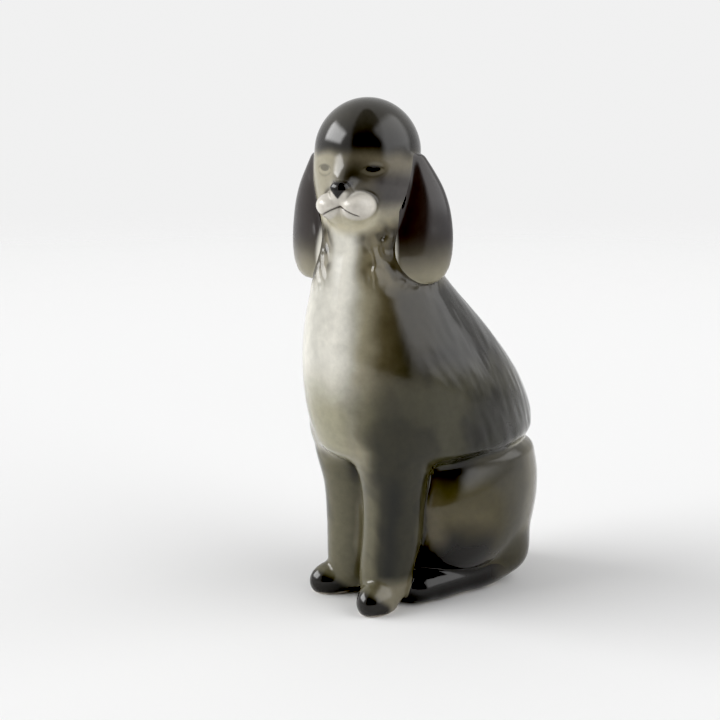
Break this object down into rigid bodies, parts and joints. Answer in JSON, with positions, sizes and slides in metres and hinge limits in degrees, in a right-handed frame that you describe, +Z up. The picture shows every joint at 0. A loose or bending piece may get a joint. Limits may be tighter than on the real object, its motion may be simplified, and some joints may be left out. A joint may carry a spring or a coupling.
{
  "type": "seated dog figurine",
  "caption": "Free-standing glazed porcelain figurine of a seated poodle with a rounded topknot, long hanging ears and a full mane, its head turned to its left.",
  "frame": {"origin": "centre of the footprint's bounding box, on the surface the figurine stands on", "axes": "+Z up, the dog's body faces -Y, the dog's left side is +X"},
  "size_m": [0.0723, 0.1102, 0.2],
  "materials": {
    "grey_glaze": "gloss, airbrushed grey over cream under a clear glaze",
    "dark_glaze": "gloss, near-black brown under a clear glaze",
    "bare_porcelain": "matt, unglazed"
  },
  "bodies": {
    "root": {"body_casting": "grey_glaze", "head_casting": "grey_glaze", "left_ear": "dark_glaze", "right_ear": "dark_glaze", "left_foreleg": "grey_glaze", "right_foreleg": "grey_glaze", "left_hind_foot": "dark_glaze", "right_hind_foot": "dark_glaze", "tail": "grey_glaze", "base_plate": "bare_porcelain"}
  },
  "joints": []
}
